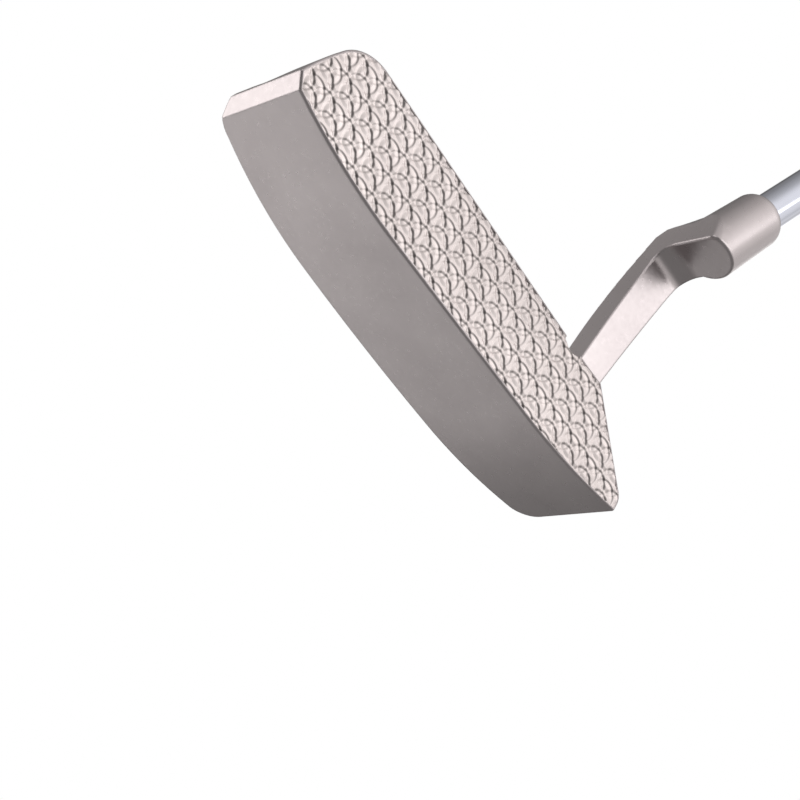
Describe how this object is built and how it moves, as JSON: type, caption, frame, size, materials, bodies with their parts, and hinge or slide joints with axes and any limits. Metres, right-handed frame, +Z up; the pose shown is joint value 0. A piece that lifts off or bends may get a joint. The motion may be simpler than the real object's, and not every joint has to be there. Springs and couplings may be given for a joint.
{
  "type": "blade putter",
  "caption": "Right-handed blade putter: milled heel-toe head with a plumber's neck and cavity back, stepped steel shaft and pistol grip",
  "frame": {"origin": "On the flat of the sole, under the sight line, 15 mm behind the leading edge. The putter stands at address.", "axes": "+Z up from the ground, -Y the way the face looks, -X the toe, +X the heel. The shaft leans 20 degrees from +Z toward +X, with no forward lean."},
  "size_m": [0.3909, 0.0535, 0.8171],
  "materials": {
    "milled_head": "satin champagne, milled face",
    "epoxy": "cured glue",
    "plated_shaft": "polished",
    "plug": "matt",
    "tape": "paper tape",
    "grip_core": "foam rubber",
    "grip_skin": "pebbled",
    "grip_end": "moulded"
  },
  "bodies": {
    "root": {"head": "milled_head", "hosel_epoxy": "epoxy", "shaft": "plated_shaft", "shaft_tip_plug": "plug", "grip_tape": "tape", "grip_core": "grip_core", "grip_skin": "grip_skin", "grip_butt_cap": "grip_end", "grip_tip_collar": "grip_end"}
  },
  "joints": []
}
